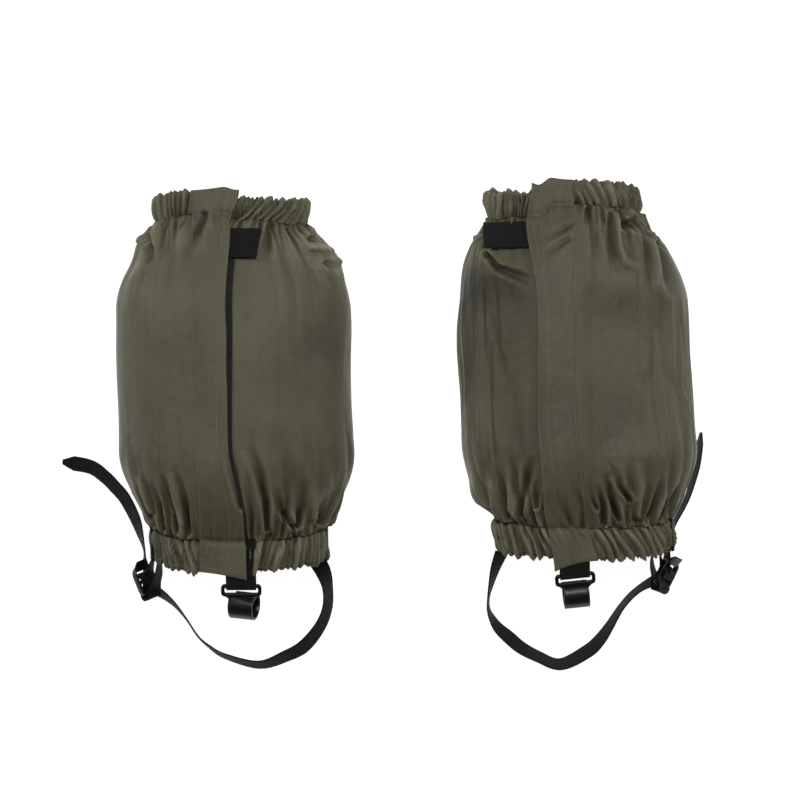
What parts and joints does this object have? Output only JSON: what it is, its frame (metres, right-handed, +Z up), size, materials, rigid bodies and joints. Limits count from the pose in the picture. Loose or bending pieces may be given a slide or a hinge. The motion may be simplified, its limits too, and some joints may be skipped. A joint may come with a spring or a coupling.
{
  "type": "pair of gaiters",
  "caption": "Short elasticated hiking gaiters with a full-length front flap closure, pull tab, lace hook and buckled webbing foot strap, lying fronts up.",
  "frame": {"origin": "centre of the pair's footprint on the surface it lies on, straps left out", "axes": "+X across the pair, +Y along the legs from ankle to calf, +Z up, out of the gaiters' fronts"},
  "size_m": [0.5545, 0.4163, 0.0944],
  "materials": {
    "coated_fabric": "olive coated woven nylon, slight sheen",
    "hook_tape": "black hook tape",
    "loop_tape": "black loop tape",
    "elastic": "woven elastic",
    "webbing": "black polyester webbing",
    "plastic": "moulded black acetal, satin"
  },
  "bodies": {
    "left_gaiter": {"left_outer_panel": "coated_fabric", "left_inner_panel": "coated_fabric", "left_underlap": "coated_fabric", "left_hook_tape": "hook_tape", "left_top_cuff": "coated_fabric", "left_top_elastic": "elastic", "left_bottom_cuff": "coated_fabric", "left_bottom_elastic": "elastic", "left_strap_anchor": "webbing", "left_keeper_patch": "webbing", "left_keeper_loop": "webbing"},
    "left_flap": {"left_front_flap": "coated_fabric", "left_loop_tape": "loop_tape", "left_pull_tab": "webbing", "left_hook_webbing": "webbing"},
    "left_hook": {"left_lace_hook": "plastic"},
    "left_buckle": {"left_ladder_lock": "plastic", "left_strap_tail": "webbing"},
    "left_strap": {"left_foot_strap": "webbing"},
    "right_gaiter": {"right_outer_panel": "coated_fabric", "right_inner_panel": "coated_fabric", "right_underlap": "coated_fabric", "right_hook_tape": "hook_tape", "right_top_cuff": "coated_fabric", "right_top_elastic": "elastic", "right_bottom_cuff": "coated_fabric", "right_bottom_elastic": "elastic", "right_strap_anchor": "webbing", "right_keeper_patch": "webbing", "right_keeper_loop": "webbing"},
    "right_flap": {"right_front_flap": "coated_fabric", "right_loop_tape": "loop_tape", "right_pull_tab": "webbing", "right_hook_webbing": "webbing"},
    "right_hook": {"right_lace_hook": "plastic"},
    "right_buckle": {"right_ladder_lock": "plastic", "right_strap_tail": "webbing"},
    "right_strap": {"right_foot_strap": "webbing"}
  },
  "joints": [
    {"name": "left_flap_open", "type": "hinge", "parent": "left_gaiter", "child": "left_flap", "pos_m": [-0.1763, 0.0156, 0.092], "axis": [0.023, -0.9997, 0], "range_deg": [0, 150]},
    {"name": "left_hook_swing", "type": "hinge", "parent": "left_flap", "child": "left_hook", "pos_m": [-0.13804, -0.15438, 0.06705], "axis": [-1, 0, 0], "range_deg": [-30, 70]},
    {"name": "left_strap_swing", "type": "hinge", "parent": "left_gaiter", "child": "left_strap", "pos_m": [-0.0783, -0.1344, 0.01], "axis": [-0.9767, -0.2147, 0], "range_deg": [0, 35]},
    {"name": "left_buckle_swing", "type": "hinge", "parent": "left_gaiter", "child": "left_buckle", "pos_m": [-0.2193, -0.1654, 0.01], "axis": [0, 0, 1], "range_deg": [0, 20]},
    {"name": "right_flap_open", "type": "hinge", "parent": "right_gaiter", "child": "right_flap", "pos_m": [0.1507, 0.0236, 0.09439], "axis": [-0.0649, 0.9979, 0], "range_deg": [0, 150]},
    {"name": "right_hook_swing", "type": "hinge", "parent": "right_flap", "child": "right_hook", "pos_m": [0.1415, -0.145, 0.0665], "axis": [-0.9945, -0.1045, 0], "range_deg": [-30, 70]},
    {"name": "right_strap_swing", "type": "hinge", "parent": "right_gaiter", "child": "right_strap", "pos_m": [0.0827, -0.1294, 0.011], "axis": [-0.9758, 0.2188, 0], "range_deg": [0, 35]},
    {"name": "right_buckle_swing", "type": "hinge", "parent": "right_gaiter", "child": "right_buckle", "pos_m": [0.2187, -0.1599, 0.011], "axis": [0, 0, -1], "range_deg": [0, 20]},
    {"name": "pair_spread", "type": "slide", "parent": "left_gaiter", "child": "right_gaiter", "axis": [1, 0, 0], "range_m": [0, 0.15]}
  ]
}
